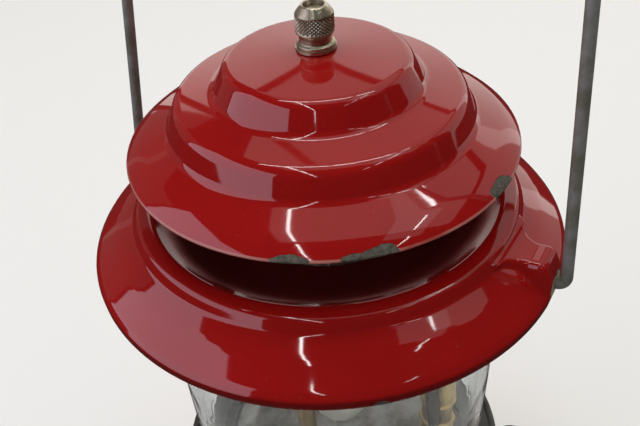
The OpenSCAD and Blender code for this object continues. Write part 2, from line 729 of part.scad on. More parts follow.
// Corners of the brim's upper surface, from the throat out to the lip, above the widest circle.
brim_corners = [
  [throat_r, 4.4, 0],
  [throat_r + 0.6, 7.4, 2],
  [brim_r - 32, 9, 10],
  [ring_in, 16, 2.6],
  [brim_r - 16.2, 15.4, 2.2],
  [brim_r - 14.4, 11.6, 2],
  [brim_r - 8.5, 8, 20],
  [brim_r - 1.6, 2.4, 5],
  [brim_r, 0.2, 1.2],
  [brim_r - 0.2, -2.2, 1.2],
  [brim_r - 0.8, -3.2, 0]
];
lip_z = -3.2;
brim_path = rounded(brim_corners);

boss_top = 12.8;
boss_end = brim_r - 0.3;
boss_round = 4.4;
boss_root = brim_r - 14.4;
flare_r = 6;
flare_top = 11.4;

// Everything under the brim's surface, moved in by t.
module brim_form(t, floor_z, from_r) {
  p = beside(brim_path, t);
  spin(concat([[from_r, floor_z], [from_r, brim_corners[0][1]]],
    t > 0 ? [[p[0][0], brim_corners[0][1]]] : [], p, [[p[len(p) - 1][0], floor_z]]));
}
// Cross-section of the pocket, an arch, and its side view, which ends in a dome.
boss_arch = rounded([
  [-boss_half - 1.6, lip_z, 0], [-boss_half - 0.4, boss_top - 7, 3],
  [-boss_half, boss_top, boss_round], [boss_half, boss_top, boss_round],
  [boss_half + 0.4, boss_top - 7, 3], [boss_half + 1.6, lip_z, 0]
]);
boss_side = rounded([[ring_in - 7, boss_top, 0], [boss_end, boss_top, 7], [boss_end, lip_z, 0]]);

// Half of the flare that runs the pocket's sides out into the ring, moved in by t.
function flare_half(t) = [
  [boss_root + flare_r + 1, boss_half - t, 0],
  [boss_root - t, boss_half - t, flare_r + t],
  [boss_root - t, boss_half + flare_r + 1, 0],
  [ring_in + t, boss_half + flare_r + 1, 0]
];

// A path moved in by t and closed along its foot at floor_z.
function standing(p, t, floor_z) = let (q = beside(p, t))
  concat([[q[0][0], floor_z]], q, [[q[len(q) - 1][0], floor_z]]);

// The raised pocket that carries one end of the bail, along +X.
module boss_form(t, floor_z) {
  intersection() {
    union() {
      intersection() {
        translate([ring_in + t, 0, 0]) rotate([90, 0, 90]) linear_extrude(40)
          polygon(standing(boss_arch, t, floor_z));
        translate([0, 20, 0]) rotate([90, 0, 0]) linear_extrude(40)
          polygon(standing(boss_side, t, floor_z));
      }
      for (side = [-1, 1]) translate([0, 0, floor_z]) linear_extrude(flare_top - t - floor_z)
        polygon([for (q = concat([[ring_in + t, 0]], [[boss_root + flare_r + 1, 0]],
          rounded(flare_half(t)))) [q[0], side * q[1]]]);
    }
    translate([0, 0, floor_z]) cylinder(r = brim_r - t, h = 60);
  }
}

pin_hole_d = wire_d + 2 * run_fit;
module ventilator_brim() color("firebrick") translate([0, 0, brim_z]) difference() {
  union() {
    brim_form(0, lip_z, throat_r);
    for (a = [0, 180]) rotate([0, 0, a]) boss_form(0, lip_z);
  }
  brim_form(sheet, -20, 0);
  for (a = [0, 180]) rotate([0, 0, a]) boss_form(sheet, -20);
  translate([-far, 0, pivot_lift]) rotate([0, 90, 0]) cylinder(d = pin_hole_d, h = 2 * far);
}

// Corners of the cap's upper surface above its rim.
hole_r = stud_d / 2 + 0.3;
cap_corners = [
  [hole_r, 29.9, 0],
  [cap_r - 33.2, 28, 12.4],
  [cap_r - 29.2, 19.1, 4],
  [cap_r - 16.5, 17.1, 9],
  [cap_r - 14.7, 8.5, 4],
  [cap_r - 4.2, 3.5, 24],
  [cap_r, 0, 0]
];
cap_path = rounded(cap_corners);
module ventilator_cap() color("firebrick") translate([0, 0, brim_z + cap_lift])
  spin(sheet_of(cap_path, sheet));

// Heights of the brim's floor and of the underside of the cap's ledge above the widest circle.
function brim_floor(r) = on_line(brim_corners[1], brim_corners[2], r);
function cap_ledge(r) = cap_lift + on_line(cap_corners[2], cap_corners[3], r) - sheet;

// Strap across the throat under the brim; it rests on the frame's bar.
spider_w = 12;
spider_t = 1.2;
spider_gap = 0.25;
spider_out = globe_end_r - glass - 2.6;
spider_path = rounded([
  [8, bar_z + leg_t + spider_t, 0],
  [throat_r - 6, bar_z + leg_t + spider_t, 4],
  [throat_r - 1, brim_z + brim_corners[0][1] - spider_gap, 2],
  [throat_r + 2.6, brim_z + brim_corners[0][1] - spider_gap, 0.5],
  [throat_r + 3.4, brim_z + brim_floor(throat_r + 3.4) - sheet - spider_gap, 1.5],
  [spider_out, brim_z + brim_floor(spider_out) - sheet - spider_gap, 0]
]);
module vent_spider() color("gray") difference() {
  for (a = [45, 135]) rotate([0, 0, a]) translate([0, spider_w / 2, 0]) rotate([90, 0, 0])
    linear_extrude(spider_w) polygon(sheet_of(both(spider_path), spider_t));
  translate([0, 0, bar_z - 5]) cylinder(d = stud_d + 2 * run_fit, h = 20);
}

// Three bent straps that carry the cap above the brim. Each is a C that opens outward.
strap_w = 9;
strap_t = 1.2;
strap_gap = 0.25;
strap_in = cap_r - 28.2;
strap_out = strap_in + 7;
ledge_drop = 0.4;
strap_path = rounded([
  [strap_out, brim_floor(strap_out) + strap_gap, 0],
  [strap_in, brim_floor(strap_in) + strap_gap, 1.6],
  [strap_in, cap_ledge(strap_in) - strap_gap - ledge_drop, 2.4],
  [strap_out, cap_ledge(strap_out) - strap_gap, 0]
]);
module strap_places() { for (a = [0:120:240]) rotate([0, 0, a]) children(); }
module cap_straps() color("gray") strap_places()
  translate([0, strap_w / 2, brim_z]) rotate([90, 0, 0]) linear_extrude(strap_w)
    polygon(sheet_of(strap_path, strap_t));

// The rivet heads stand square to the sloping foot of each strap.
rivet_x = strap_out - 2.8;
rivet_z = brim_z + brim_floor(rivet_x) + strap_gap + strap_t + 0.04;
floor_slope = atan(brim_floor(1) - brim_floor(0));
module strap_rivets() color("silver") strap_places()
  translate([rivet_x, 0, rivet_z]) rotate([0, -floor_slope, 0])
    spin(rounded([[0, 0, 0], [2, 0, 0], [2, 0.6, 0.5], [1, 1.3, 0.5], [0, 1.3, 0]]));

// ---- Stud, ball nut and bail ---------------------------------------------------------------

crown_z = brim_z + cap_lift + cap_corners[0][1];
washer_h = 0.8;
nut_z = crown_z + washer_h;

stud_drop = 1.8;
stud_end = 1.4;
module center_stud() color("silver") {
  translate([0, 0, bar_z - stud_drop]) hex(8, stud_drop);
  translate([0, 0, bar_z - stud_drop]) cylinder(d = stud_d, h = nut_z + nut_h - bar_z + stud_drop - stud_end);
  translate([0, 0, crown_z - 5.4]) difference() {
    hex(8, 4);
    translate([0, 0, -1]) cylinder(d = stud_d - 0.2, h = 6);
  }
}

module nut_washer() color("#4a4a40") translate([0, 0, crown_z])
  tube(nut_d + 0.6, stud_d + 2 * run_fit, washer_h);

// Barrel-shaped knurled nut on a flared neck, open at its top.
belly = nut_d / 2;
nut_mouth = 2;
module ball_nut() color("darkkhaki") translate([0, 0, nut_z]) difference() {
  spin(rounded([
    [0, 0, 0], [belly - 0.1, 0, 0.3], [belly - 0.1, 0.9, 0.4], [belly - 0.9, 1.5, 0.8],
    [belly - 1, nut_h * 0.25, 1], [belly, nut_h * 0.37, 1.2], [belly, nut_h * 0.78, 2.2],
    [belly - 1.9, nut_h - 0.2, 1.2], [belly - 2.4, nut_h, 0], [0, nut_h, 0]]));
  translate([0, 0, -1]) cylinder(d = stud_d + 2 * run_fit, h = nut_h + 2);
  translate([0, 0, nut_h - nut_mouth])
    cylinder(r1 = stud_d / 2 + run_fit, r2 = belly - 2.5, h = nut_mouth + 0.01);
}

pin_in = 7;
bend = 3;
pivot_z = brim_z + pivot_lift;
leg_end_z = bend * (1 + sin(toe_in)) + leg_len * cos(toe_in);
// Rounded to a hundredth so that the wire's pieces meet face to face.
arch_r = round(100 * (leg_x - leg_end_z * tan(toe_in)) / cos(toe_in)) / 100;
arch_z = round(100 * (leg_end_z - arch_r * sin(toe_in))) / 100;

module wire_arc(r, a) { rotate_extrude(angle = a) translate([r, 0]) circle(d = wire_d); }
module wire_run(r, h) { translate([r, 0, 0]) rotate([90, 0, 0]) cylinder(d = wire_d, h = h); }
// Frame at the arch's centre whose +X points at the arch's right-hand end.
module at_arch() {
  translate([0, 0, arch_z]) rotate([90, 0, 0]) rotate([0, 0, toe_in]) children();
}
// One leg with its bend and the end that enters the boss.
module bail_side() at_arch() {
  wire_run(arch_r, leg_len);
  translate([arch_r - bend, -leg_len, 0]) rotate([0, 0, -90 - toe_in]) {
    wire_arc(bend, 90 + toe_in);
    wire_run(bend, pin_in);
  }
}
module bail() color("slategray") translate([0, 0, pivot_z]) rotate([-bail_lean, 0, 0]) {
  bail_side();
  rotate([0, 0, 180]) bail_side();
  at_arch() wire_arc(arch_r, 180 - 2 * toe_in);
}

fount_shell();
fount_bottom();
filler_neck();
filler_gasket();
filler_cap();
filler_screw();
pump_barrel();
check_valve();
air_stem();
pump_cup();
cup_retainer();
pump_rod();
pump_knob();
pump_cap();
pump_screws();
pickup_tube();
valve_body();
packing_nut();
valve_stem();
valve_wheel();
wheel_screw();
generator_tube();
generator_nut();
cleaning_rod();
cleaner_lever();
collar();
globe_plate();
heat_shield();
plate_screws();
burner_frame();
air_tube();
burner_manifold();
burner_cap();
burner_screen();
mantle();
globe();
ventilator_brim();
ventilator_cap();
vent_spider();
cap_straps();
strap_rivets();
center_stud();
nut_washer();
ball_nut();
bail();
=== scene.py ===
# %% [markdown]
# # A single-mantle camping lantern
# The lantern stands on a fuel fount. Above it come a dark collar and plate, a glass globe
# round the burner, and a ventilator of two red enamelled pressings held down by a ball nut.
# The solids give every size and place. This file dresses them: it gives each solid a finish,
# and makes finer meshes where a pressing, the glass, the mantle or the knurled nut needs more
# than a solid can show.

# %% Load the solids
import math

import bpy
from mathutils import Matrix, Vector


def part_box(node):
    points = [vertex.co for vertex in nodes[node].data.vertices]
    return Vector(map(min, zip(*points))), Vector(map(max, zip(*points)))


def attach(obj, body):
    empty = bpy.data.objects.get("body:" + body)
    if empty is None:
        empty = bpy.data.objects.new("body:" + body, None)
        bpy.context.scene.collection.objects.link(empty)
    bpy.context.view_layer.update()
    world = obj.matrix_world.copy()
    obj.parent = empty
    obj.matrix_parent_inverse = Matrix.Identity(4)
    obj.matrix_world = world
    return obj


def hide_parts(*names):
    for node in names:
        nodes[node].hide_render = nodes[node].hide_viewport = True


MM = 0.001
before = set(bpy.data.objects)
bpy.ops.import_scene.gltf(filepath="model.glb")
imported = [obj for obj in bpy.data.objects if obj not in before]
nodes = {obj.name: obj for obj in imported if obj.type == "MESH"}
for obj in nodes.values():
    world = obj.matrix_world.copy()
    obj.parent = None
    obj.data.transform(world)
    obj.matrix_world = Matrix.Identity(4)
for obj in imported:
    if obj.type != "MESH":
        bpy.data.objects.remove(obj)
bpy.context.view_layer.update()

# %% [markdown]
# ## Sizes taken from the solids
# The brim's widest circle is the datum of the ventilator, as a sheet-metal worker would mark
# it out. The cap's rim, the globe's ends and the nut's foot could be typed in as numbers, but
# they are read from their solids, so a change of size there carries through to the meshes
# below. Radii and heights are in millimetres from here on, and MM turns them into metres.

# %% Read the datums
brim_low, brim_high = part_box("ventilator_brim")
_, cap_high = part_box("ventilator_cap")
globe_low, globe_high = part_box("globe")
nut_low, nut_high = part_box("ball_nut")

LIP_DROP = 3.2
SHEET = 0.9
CROWN_RISE = 29.9
PIVOT_RISE = 2.7
brim_r = brim_high.y / MM
brim_z = brim_low.z / MM + LIP_DROP
cap_r = cap_high.y / MM
cap_z = cap_high.z / MM - CROWN_RISE
pivot_z = brim_z + PIVOT_RISE
print(f"brim radius {brim_r:.1f} at {brim_z:.1f}, cap rim {cap_r:.1f} at {cap_z:.1f}")

# %% [markdown]
# ## The camera
# The lantern is seen from above and close by, by a camera that is rolled a few degrees. Its
# place could be written as one matrix. It is worked out from direction, pitch, distance and
# roll round the brim's centre instead, because each of these can be changed alone.

# %% Place the camera
CAMERA_AZIMUTH = math.radians(-58.0)
CAMERA_PITCH = math.radians(38.09)
CAMERA_ROLL = math.radians(-4.32)
CAMERA_DISTANCE = 272.3 * MM
CAMERA_SIDE = -2.53 * MM
CAMERA_RISE = 2.71 * MM
LENS = 45.0
SENSOR = 36.0
NEAREST_SEEN = 0.01
brim_centre = Vector((0, 0, brim_z * MM))


def camera_axes(azimuth, pitch):
    """Right, up and back directions of a level camera that looks at the lantern's axis."""
    out = Vector((math.cos(azimuth), math.sin(azimuth), 0))
    back = out * math.cos(pitch) + Vector((0, 0, math.sin(pitch)))
    right = Vector((0, 0, 1)).cross(out).normalized()
    return right, back.cross(right), back


right, up, back = camera_axes(CAMERA_AZIMUTH, CAMERA_PITCH)
rolled_right = right * math.cos(CAMERA_ROLL) + up * math.sin(CAMERA_ROLL)
rolled_up = up * math.cos(CAMERA_ROLL) - right * math.sin(CAMERA_ROLL)
bpy.ops.object.select_all(action="DESELECT")
bpy.ops.object.camera_add()
camera = bpy.context.active_object
camera.data.lens = LENS
camera.data.sensor_width = SENSOR
camera.data.clip_start = NEAREST_SEEN
camera_place = Matrix((rolled_right, rolled_up, back)).transposed().to_4x4()
camera_place.translation = (
    brim_centre + back * CAMERA_DISTANCE + right * CAMERA_SIDE + up * CAMERA_RISE
)
camera.matrix_world = camera_place
bpy.context.scene.camera = camera
print("camera at", [round(c, 3) for c in camera_place.translation])

# %% [markdown]
# ## Shader sums
# A finish is mostly arithmetic: a mask from noise, a little added to a roughness. The nodes
# could be placed and linked one by one. Wrapping a node socket in a small class lets that
# arithmetic be written as ordinary sums, and one method adds every other kind of node.


# %% A socket that can be added and multiplied
class Value:
    """A number that varies over a surface."""

    def __init__(self, finish, socket):
        self.finish = finish
        self.socket = socket

    def sum(self, operation, first, second):
        """The result of one Math node."""
        return self.finish.node("ShaderNodeMath", {"operation": operation}, {0: first, 1: second})

    def __add__(self, other):
        return self.sum("ADD", self, other)

    def __radd__(self, other):
        return self.sum("ADD", other, self)

    def __sub__(self, other):
        return self.sum("SUBTRACT", self, other)

    def __rsub__(self, other):
        return self.sum("SUBTRACT", other, self)

    def __mul__(self, other):
        return self.sum("MULTIPLY", self, other)

    def __rmul__(self, other):
        return self.sum("MULTIPLY", other, self)

    def __truediv__(self, other):
        return self.sum("DIVIDE", self, other)

    def __pow__(self, other):
        return self.sum("POWER", self, other)

    def above(self, edge, soft):
        """0 below the edge and 1 above it, over a band of the given width."""
        return self.finish.node(
            "ShaderNodeMapRange",
            {"interpolation_type": "SMOOTHSTEP"},
            {"Value": self, "From Min": edge - soft / 2, "From Max": edge + soft / 2},
        )

    def below(self, edge, soft):
        """1 below the edge and 0 above it."""
        return 1 - self.above(edge, soft)

    def most(self, other):
        """The greater of the two numbers."""
        return self.sum("MAXIMUM", self, other)


print("sums on sockets:", "+ - * / **", "above below most")


# %% A finish and its nodes
class Finish:
    """One material with its main shader."""

    def __init__(self, name, **constants):
        self.material = bpy.data.materials.new(name)
        self.material.use_nodes = True
        self.tree = self.material.node_tree
        self.shader = self.tree.nodes["Principled BSDF"]
        for socket, value in constants.items():
            self.shader.inputs[socket.replace("_", " ")].default_value = value

    def node(self, kind, settings=None, sockets=None, out=0):
        """Add any node: its settings first, then the values or links of its sockets."""
        made = self.tree.nodes.new(kind)
        for key, value in (settings or {}).items():
            setattr(made, key, value)
        for key, value in (sockets or {}).items():
            self.feed(made.inputs[key], value)
        return Value(self, made.outputs[out])

    def feed(self, socket, value):
        """Link a value to a socket, or write a number or colour in it."""
        if isinstance(value, Value):
            self.tree.links.new(value.socket, socket)
        elif isinstance(value, tuple) and socket.type == "RGBA" and len(value) == 3:
            socket.default_value = (*value, 1)
        else:
            socket.default_value = value

    def set(self, **inputs):
        """Link or set inputs of the main shader."""
        for key, value in inputs.items():
            self.feed(self.shader.inputs[key.replace("_", " ")], value)
        return self

    def place(self):
        """Where a point is on the piece, in metres."""
        return self.node("ShaderNodeTexCoord", out=3)

    def axes(self):
        """The X, Y and Z of a point on the piece, in metres."""
        split = self.node("ShaderNodeSeparateXYZ", None, {0: self.place()})
        return [Value(self, split.socket.node.outputs[i]) for i in range(3)]

    def noise(self, size, detail=2.0, rough=0.5, stretch=(1, 1, 1), seed=(0, 0, 0)):
        """Noise from 0 to 1 whose blobs are about `size` metres across."""
        at = self.node(
            "ShaderNodeMapping", None, {"Vector": self.place(), "Location": seed, "Scale": stretch}
        )
        return self.node(
            "ShaderNodeTexNoise",
            None,
            {"Vector": at, "Scale": 1 / size, "Detail": detail, "Roughness": rough},
        )

    def mix(self, factor, dull, bright):
        """A colour between two colours."""
        return self.node(
            "ShaderNodeMix", {"data_type": "RGBA"}, {0: factor, 6: dull, 7: bright}, out=2
        )

    def bump(self, height, depth):
        """A surface direction that follows a height from 0 to 1, `depth` metres deep."""
        return self.node("ShaderNodeBump", None, {"Height": height, "Distance": depth})


def tint(colour, share):
    """A colour made darker or paler all over."""
    return tuple(c * share for c in colour)


print("steps of a finish:", [name for name in vars(Finish) if not name.startswith("_")])

# %% [markdown]
# ## Red enamel
# Vitreous enamel is a thin coat of glass over steel. It is deep red, almost mirror smooth,
# and shows faint waves, dust and hairline scratches. Where it is knocked it breaks away in
# shell-shaped chips that show the grey-green ground coat, mottled with bare steel. A chip
# could be painted on a map of the surface. Here it is a blob of space round a point of the
# rim, whose outline is broken up with noise, so it needs no map and wraps round the edge.

# %% Chips in the enamel
CHIP_RAGGED = 1.6
CHIP_SOFT = 0.12


def chip(finish, centre, size, ragged):
    """1 inside a chip: an ellipsoid round centre, in mm, with a ragged outline."""
    x, y, z = finish.axes()
    cx, cy, cz = (c * MM for c in centre)
    sx, sy, sz = (s * MM for s in size)
    turn = math.atan2(cy, cx)
    along = (y - cy) * math.cos(turn) - (x - cx) * math.sin(turn)
    out = (x - cx) * math.cos(turn) + (y - cy) * math.sin(turn)
    reach = (out / sx) ** 2 + (along / sy) ** 2 + ((z - cz) / sz) ** 2
    return (reach + (ragged - 0.5) * CHIP_RAGGED).below(1.0, CHIP_SOFT)


def rim_point(radius, azimuth, height):
    """A point in mm at a radius, direction in degrees and height."""
    turn = math.radians(azimuth)
    return (radius * math.cos(turn), radius * math.sin(turn), height)


def chips_at(finish, places, ragged):
    """1 inside any of the places, or None when there are none."""
    joined = None
    for centre, size in places:
        one = chip(finish, centre, size, ragged)
        joined = one if joined is None else joined.most(one)
    return joined


print("a point of the cap's rim:", [round(c, 1) for c in rim_point(cap_r, -69, cap_z)])

# %% Whole and broken enamel
DUST = (0.55, 0.25, 0.22)
# A pale colour for the rim's edge: a painted highlight, where the enamel is also worn thin.
WORN_EDGE_AND_HIGHLIGHT = (0.45, 0.24, 0.20)
# A near-black red for painted shade in the brim's basin under the cap.
PAINTED_SHADE = (0.15, 0.010, 0.008)
GROUND_COAT = (0.012, 0.012, 0.009)
BARE_STEEL = (0.10, 0.088, 0.06)
RUBBED_STEEL = (0.36, 0.33, 0.23)


def whole_enamel(coat, red, cloud):
    """Tone, roughness and height of whole enamel, with its dust and hairline scratches."""
    dust = coat.noise(0.9 * MM, detail=3.0, rough=0.7).above(0.735, 0.03)
    scratch = coat.noise(2.5 * MM, detail=2.0, stretch=(9, 1, 1), seed=(0.3, 0, 0))
    speck = (dust * 0.5 + scratch.above(0.75, 0.02) * 0.35) * cloud
    tone = coat.mix(cloud, tint(red, 0.86), tint(red, 1.12))
    tone = coat.mix(speck, tone, DUST)
    rough = 0.03 + cloud * 0.04 + speck * 0.3
    height = coat.noise(9 * MM, detail=1.0) * 0.03
    return tone, rough, height


def broken_enamel(coat, tone, rough, height, chips, rubs):
    """The same three where the enamel is chipped off, and where it is rubbed to the metal."""
    ragged = coat.noise(3.2 * MM, detail=5.0, rough=0.62)
    bare = chips_at(coat, chips, ragged)
    rubbed = chips_at(coat, rubs, ragged)
    if bare is not None:
        grain = coat.noise(1.1 * MM, detail=6.0, rough=0.7)
        tone = coat.mix(bare, tone, coat.mix(grain.above(0.5, 0.35), GROUND_COAT, BARE_STEEL))
        rough = rough * (1 - bare) + (0.5 + grain * 0.3) * bare
        height = height - bare * (0.5 - grain * 0.25)
    if rubbed is not None:
        tone = coat.mix(rubbed, tone, RUBBED_STEEL)
        rough = rough * (1 - rubbed) + rubbed * 0.4
    return tone, rough, height


def enamel(name, red, chips=(), rubs=(), shade_r=None, lip_z=None, worn_and_highlit_r=None):
    """Deep glossy enamel with its chips, and the places rubbed down to the metal.

    The last three arguments are in mm. Inside the first radius the enamel is dulled and painted
    near black, as painted shade under the cap. Below the height it is painted darker, as painted
    shade on the downturned lip. Beyond the last radius the edge is painted paler, a painted
    highlight where the enamel is also worn thin.
    """
    coat = Finish(name, IOR=1.6)
    cloud = coat.noise(24 * MM, detail=3.0)
    tone, rough, height = whole_enamel(coat, red, cloud)
    x, y, z = coat.axes()
    reach = (x**2 + y**2) ** 0.5
    # Painted shade: the downturned lip below this height is painted darker, as it faces away from
    # the light.
    if lip_z:
        pooled = z.below(lip_z * MM, 1.8 * MM)
        tone = coat.mix(pooled * 0.8, tone, tint(red, 0.3))
    # Painted highlight: a pale line is painted along the rim's edge, broken up by the cloud where
    # the enamel is also worn thin.
    if worn_and_highlit_r:
        worn = reach.above(worn_and_highlit_r * MM, 0.3 * MM) * cloud.above(0.35, 0.3)
        tone = coat.mix(worn * 0.45, tone, WORN_EDGE_AND_HIGHLIGHT)
        rough = rough + worn * 0.2
    # Painted shade: inside the radius, under the cap, the enamel is painted near black. It is also
    # made rough and partly metallic, so it looks dull.
    if shade_r:
        dull = (reach + cloud * (3 * MM)).below(shade_r * MM, 8 * MM)
        tone = coat.mix(dull, tone, PAINTED_SHADE)
        rough = rough + dull
        coat.set(Metallic=dull)
    tone, rough, height = broken_enamel(coat, tone, rough, height, chips, rubs)
    normal = coat.bump(height, 0.35 * MM)
    return coat.set(Base_Color=tone, Roughness=rough, Normal=normal).material


print("enamel is", "whole, pooled, worn thin, scorched, chipped or rubbed")

# %% Make the three enamels
DEEP_RED = (0.26, 0.0052, 0.0046)
# How far in from the brim's edge the painted shade under the cap begins, in mm.
SHADE_WIDTH = 24
cap_chips = [
    (rim_point(cap_r - 0.8, -69, cap_z + 0.2), (3.8, 5.2, 1.4)),
    (rim_point(cap_r - 1.2, -46, cap_z + 0.4), (3.8, 5.0, 1.6)),
    (rim_point(cap_r - 0.8, -53, cap_z + 0.2), (3.0, 3.4, 1.1)),
    (rim_point(cap_r - 1.0, -4, cap_z + 0.7), (3.2, 5.6, 2.4)),
]
brim_chips = [(rim_point(brim_r - 0.2, -50.5, brim_z - 2.2), (2.2, 2.2, 1.3))]
hole_rubs = [(rim_point(brim_r, side, pivot_z - 0.6), (1.6, 4.2, 4.6)) for side in (0, 180)]
# The cap's rim gets a pale painted highlight along its edge.
cap_enamel = enamel("cap enamel", DEEP_RED, cap_chips, worn_and_highlit_r=cap_r - 0.7)
# The brim's basin under the cap and its lip are painted darker, as painted shade.
brim_enamel = enamel(
    "brim enamel", DEEP_RED, brim_chips, hole_rubs,
    shade_r=brim_r - SHADE_WIDTH, lip_z=brim_z + 0.4,
)
fount_enamel = enamel("fount enamel", DEEP_RED)
print("enamels made:", cap_enamel.name, brim_enamel.name, fount_enamel.name)

# %% [markdown]
# ## Metals
# Wire, nickel, brass and steel could each have a tree of nodes of its own. They share one
# recipe, because they age alike: a tone that wanders between clean and tarnished, a roughness
# that follows the tarnish, and fine marks that run the way the metal was drawn. Only the
# colours, the direction of the marks and the size of the tarnished spots change. Zinc wire
# has a skin of oxide, so it is only partly metallic.


# %% One recipe for the metals
def metal(name, clean, tarnish, rough, grain=(1, 1, 1), edge=0.5, spot=9.0, metallic=1.0):
    """Metal marked along its grain, and tarnished in spots where noise is above the edge."""
    made = Finish(name, Metallic=metallic)
    spots = made.noise(spot * MM, detail=4.0, rough=0.6).above(edge, 0.35)
    marks = made.noise(0.7 * MM, detail=2.0, stretch=grain, seed=(0.1, 0.2, 0))
    tone = made.mix(spots, clean, tarnish)
    tone = made.mix(marks * 0.35, tone, tint(clean, 0.45))
    return made.set(
        Base_Color=tone,
        Roughness=rough + spots * 0.14 + marks * 0.1,
        Normal=made.bump(marks, 0.03 * MM),
    ).material


zinc_wire = metal(
    "zinc wire", (0.27, 0.275, 0.26), (0.15, 0.145, 0.10), 0.40, grain=(1, 1, 0.12), metallic=0.35
)
print("the first metal:", zinc_wire.name)

# %% Make the other metals
aged_nickel = metal("aged nickel", (0.68, 0.61, 0.47), (0.31, 0.26, 0.17), 0.24, spot=4)
bright_nickel = metal("bright nickel", (0.62, 0.60, 0.57), (0.42, 0.39, 0.33), 0.16, edge=0.6)
dull_steel = metal("dull steel", (0.40, 0.40, 0.39), (0.21, 0.19, 0.16), 0.34, grain=(1, 1, 0.3))
# Darkened steel: soot on the burner frame, and painted shade on the vent spider, straps and rivets,
# which sit under the cap.
sooty_shaded_steel = metal("sooty and shaded steel", (0.12, 0.11, 0.10), (0.05, 0.043, 0.036), 0.5, edge=0.4)
tan_brass = metal(
    "tan brass", (0.60, 0.44, 0.20), (0.36, 0.25, 0.12), 0.26, grain=(1, 1, 0.25), edge=0.55
)
metals = (zinc_wire, aged_nickel, bright_nickel, dull_steel, sooty_shaded_steel, tan_brass)
print("metals:", [made.name for made in metals])

# %% [markdown]
# ## Dark steel, cast iron, plastic, rubber and leather
# The plate and collar have a dark baked finish with a slight sheen. The burner is a casting
# that heat has blackened and burnt pale in places. The wheel is black moulded plastic. None
# of them shines like metal, so one recipe does for all: a fine grain gives both the height
# and part of the tone, and a broader cloud of wear gives the rest.

# %% Coated and cast parts
WEAR_SPREAD = 6


def matt(name, deep, pale, rough, size, depth):
    """A non-metal whose tone and height follow the same grain, `size` and `depth` in mm."""
    made = Finish(name)
    grain = made.noise(size * MM, detail=5.0, rough=0.6)
    worn = made.noise(size * WEAR_SPREAD * MM, detail=3.0).above(0.5, 0.3)
    return made.set(
        Base_Color=made.mix(worn * 0.7 + grain * 0.3, deep, pale),
        Roughness=rough + grain * 0.18,
        Normal=made.bump(grain, depth * MM),
    ).material


dark_steel = matt("dark steel", (0.022, 0.023, 0.018), (0.055, 0.055, 0.044), 0.30, 1.2, 0.03)
burnt_iron = matt("burnt iron", (0.05, 0.043, 0.038), (0.21, 0.19, 0.165), 0.62, 0.8, 0.16)
black_plastic = matt("black plastic", (0.012, 0.011, 0.010), (0.03, 0.028, 0.026), 0.28, 1.5, 0.02)
seal_rubber = matt("seal rubber", (0.018, 0.018, 0.018), (0.04, 0.04, 0.038), 0.6, 0.6, 0.04)
cup_leather = matt("cup leather", (0.12, 0.055, 0.025), (0.27, 0.15, 0.075), 0.5, 0.9, 0.08)
print("coated and cast:", dark_steel.name, burnt_iron.name, black_plastic.name)

# %% [markdown]
# ## Glass and mantle
# The globe is clear pressed glass with a faint green tone, a light film of dust and a few
# ripples. The mantle is a burnt-in net of pale oxide. Its threads could be modelled one by
# one, but they are finer than the meshes here, so two waves across its own map raise them.


# %% Glass
def clear_glass():
    """Clear glass with a film that comes and goes."""
    made = Finish("globe glass", Transmission_Weight=1.0, IOR=1.47)
    film = made.noise(16 * MM, detail=4.0)
    return made.set(
        Base_Color=made.mix(film, (0.93, 0.965, 0.955), (0.985, 0.99, 0.985)),
        Roughness=0.012 + film.above(0.62, 0.3) * 0.07,
        Normal=made.bump(made.noise(14 * MM, detail=1.0), 0.12 * MM),
    ).material


globe_glass = clear_glass()
print("glass:", globe_glass.name)


# %% Mantle net
def mantle_net():
    """A knitted net: two families of threads cross in a small square pitch."""
    made = Finish("mantle net", Roughness=0.9)
    counts = made.node("ShaderNodeUVMap", {"uv_map": "net"})
    split = made.node("ShaderNodeSeparateXYZ", None, {0: counts})
    waves = []
    for i in range(2):
        turn = Value(made, split.socket.node.outputs[i]) * (2 * math.pi)
        waves.append(made.node("ShaderNodeMath", {"operation": "SINE"}, {0: turn}))
    proud = waves[0].most(waves[1]) * 0.5 + 0.5
    ash = made.noise(5 * MM, detail=3.0)
    # The net is painted darker between the threads: painted shade in the gaps of the net.
    tone = made.mix(proud, (0.42, 0.40, 0.35), (0.86, 0.85, 0.79))
    tone = made.mix(ash * 0.3, tone, (0.62, 0.58, 0.50))
    return made.set(Base_Color=tone, Normal=made.bump(proud, 0.18 * MM)).material


mantle_cloth = mantle_net()
print("mantle:", mantle_cloth.name)

# %% [markdown]
# ## Dressing the solids
# Most solids already have the right shape, so they only need a finish. It could be given
# piece by piece. A list of the pieces under each finish is shorter, and shows at a glance
# which parts were made of the same stuff.

# %% Give each solid its finish
FINISHES = {
    fount_enamel: ["fount_shell", "fount_bottom"],
    zinc_wire: ["bail"],
    aged_nickel: ["nut_washer", "center_stud"],
    bright_nickel: [
        "filler_neck", "filler_cap", "filler_screw", "pump_knob", "pump_cap", "pump_screws",
        "plate_screws", "valve_stem", "wheel_screw", "cleaner_lever",
    ],
    dull_steel: [
        "air_stem", "cup_retainer", "pump_rod", "pickup_tube", "cleaning_rod", "heat_shield",
        "burner_screen",
    ],
    # Painted shade: the spider, straps and rivets are dark because they sit under the cap. The
    # burner frame is sooty.
    sooty_shaded_steel: ["burner_frame", "vent_spider", "cap_straps", "strap_rivets"],
    tan_brass: [
        "pump_barrel", "check_valve", "valve_body", "packing_nut", "generator_tube",
        "generator_nut", "air_tube",
    ],
    dark_steel: ["collar", "globe_plate"],
    burnt_iron: ["burner_manifold", "burner_cap"],
    black_plastic: ["valve_wheel"],
    seal_rubber: ["filler_gasket"],
    cup_leather: ["pump_cup"],
}


def dress(piece, material):
    """Leave a piece with one material."""
    piece.data.materials.clear()
    piece.data.materials.append(material)


